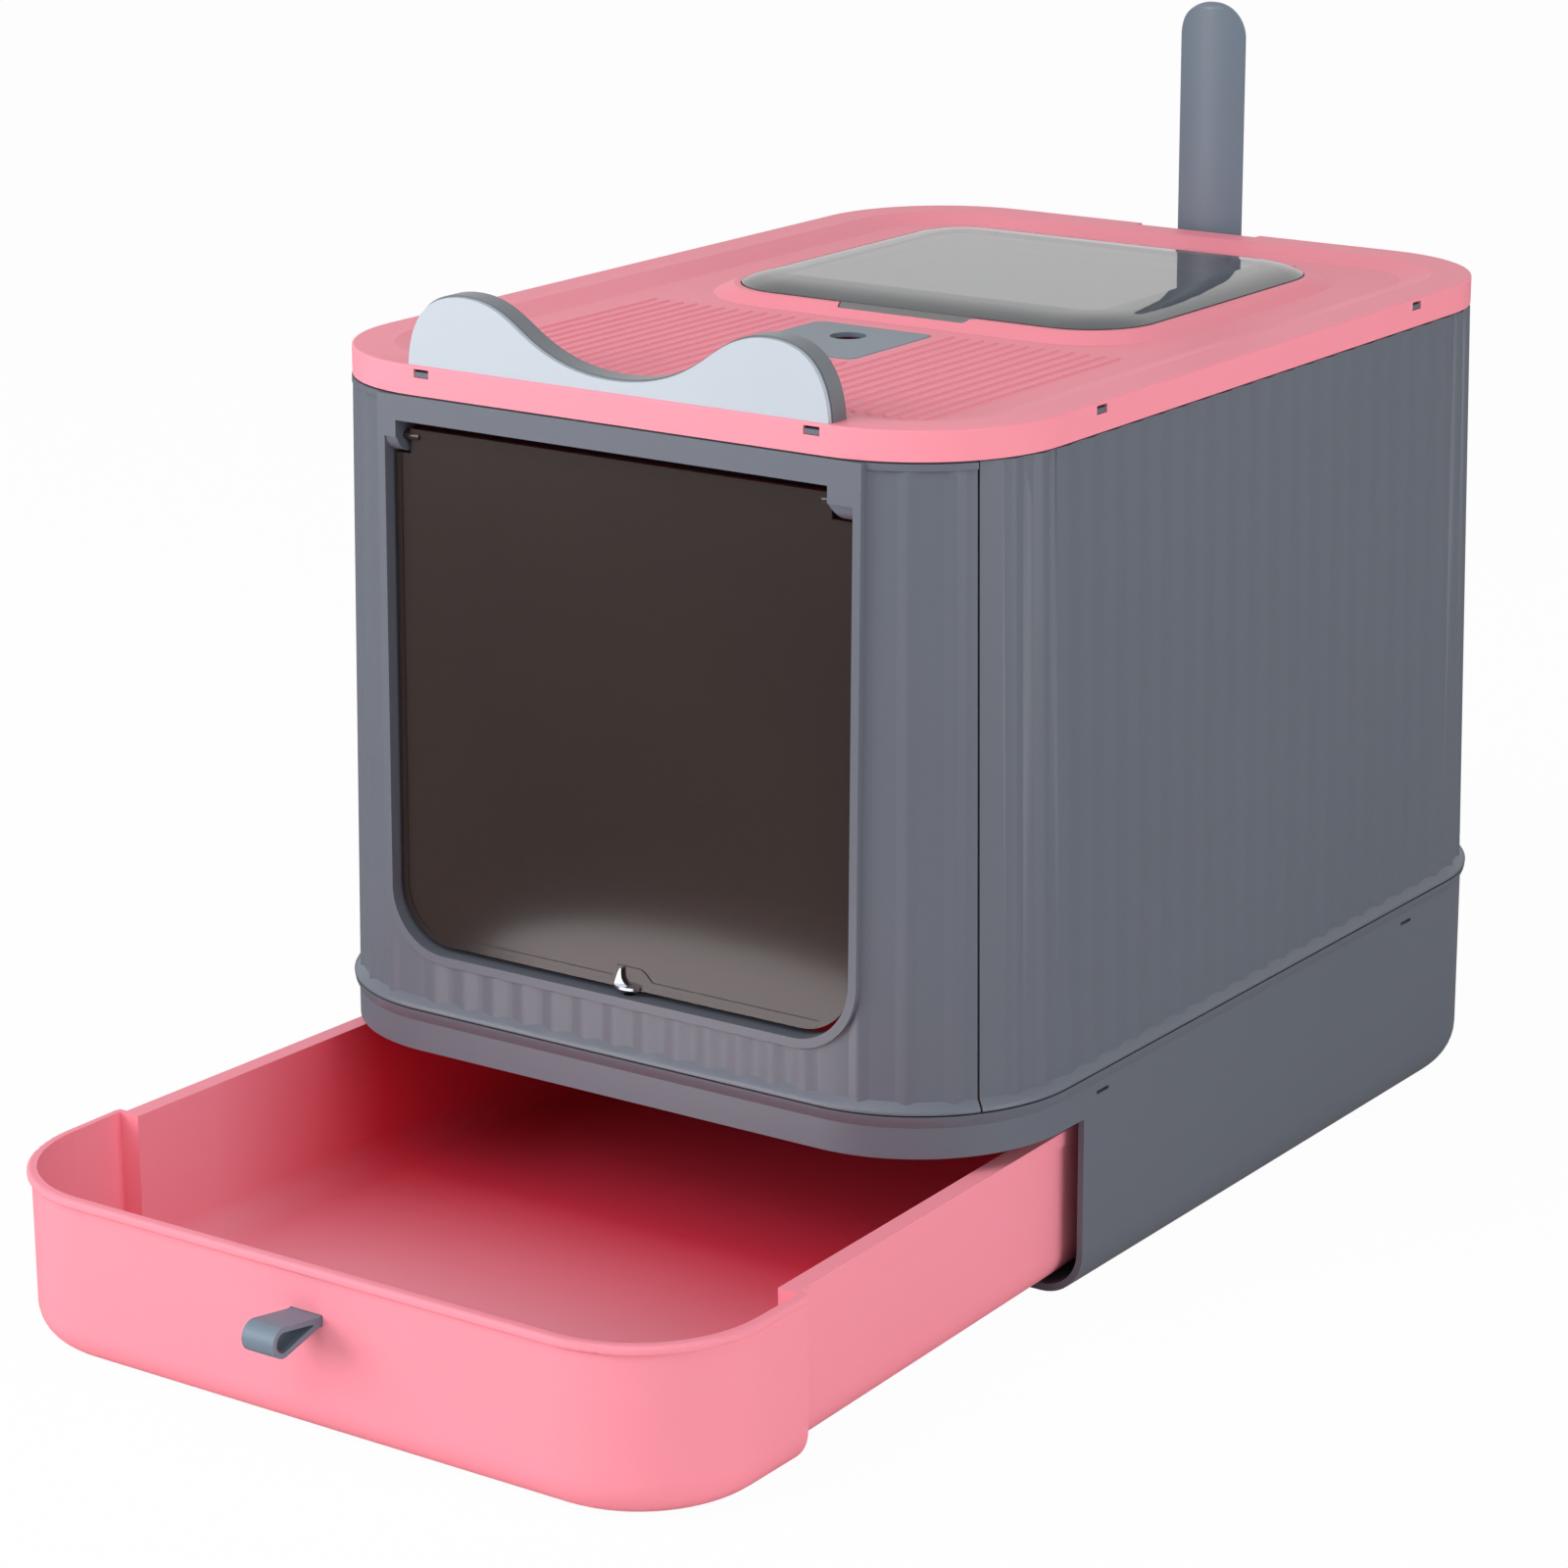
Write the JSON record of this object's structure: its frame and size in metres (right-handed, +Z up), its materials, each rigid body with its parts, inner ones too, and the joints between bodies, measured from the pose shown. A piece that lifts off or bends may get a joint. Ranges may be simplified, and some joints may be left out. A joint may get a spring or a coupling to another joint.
{
  "type": "enclosed litter box",
  "caption": "Enclosed cat litter box with fluted walls, swing flap, pull-out drawer, domed top hatch, ear-shaped crest and a scoop in a holder behind.",
  "frame": {"origin": "middle of the base's underside, on the floor", "axes": "+Z up, the front with the flap and drawer faces -Y, +X to the right seen from the front"},
  "size_m": [0.3926, 0.8013, 0.5375],
  "materials": {
    "grey_plastic": "fine satin moulding",
    "pink_plastic": "semi-gloss",
    "smoke_plastic": "clear smoky, polished",
    "light_face": "satin",
    "ear_grey": "satin",
    "bright_catch": "bright",
    "magnet": "plain",
    "soft_grey": "matt"
  },
  "bodies": {
    "housing": {"base": "grey_plastic", "front_panel": "grey_plastic", "right_panel": "grey_plastic", "left_panel": "grey_plastic", "back_panel": "grey_plastic", "lid": "pink_plastic", "ear_crest": "ear_grey", "ear_face": "light_face", "sill_magnet": "magnet", "scoop_holder": "grey_plastic"},
    "drawer": {"drawer": "pink_plastic", "drawer_pull": "soft_grey"},
    "door": {"door": "smoke_plastic", "door_catch": "bright_catch"},
    "hatch": {"hatch": "smoke_plastic"},
    "cover": {"compartment_cover": "grey_plastic"},
    "scoop": {"scoop": "grey_plastic"}
  },
  "joints": [
    {"name": "drawer_slide", "type": "slide", "parent": "housing", "child": "drawer", "axis": [0, -1, 0], "range_m": [-0.2174, 0.303]},
    {"name": "door_hinge", "type": "hinge", "parent": "housing", "child": "door", "pos_m": [0, -0.25219, 0.38374], "axis": [1, 0, 0], "range_deg": [-75, 75]},
    {"name": "hatch_hinge", "type": "hinge", "parent": "housing", "child": "hatch", "pos_m": [0, 0.185, 0.4182], "axis": [-1, 0, 0], "range_deg": [0, 100]},
    {"name": "cover_lift", "type": "slide", "parent": "housing", "child": "cover", "axis": [0, 0, 1], "range_m": [0, 0.06]},
    {"name": "scoop_lift", "type": "slide", "parent": "housing", "child": "scoop", "axis": [0, 0, 1], "range_m": [0, 0.165]}
  ]
}
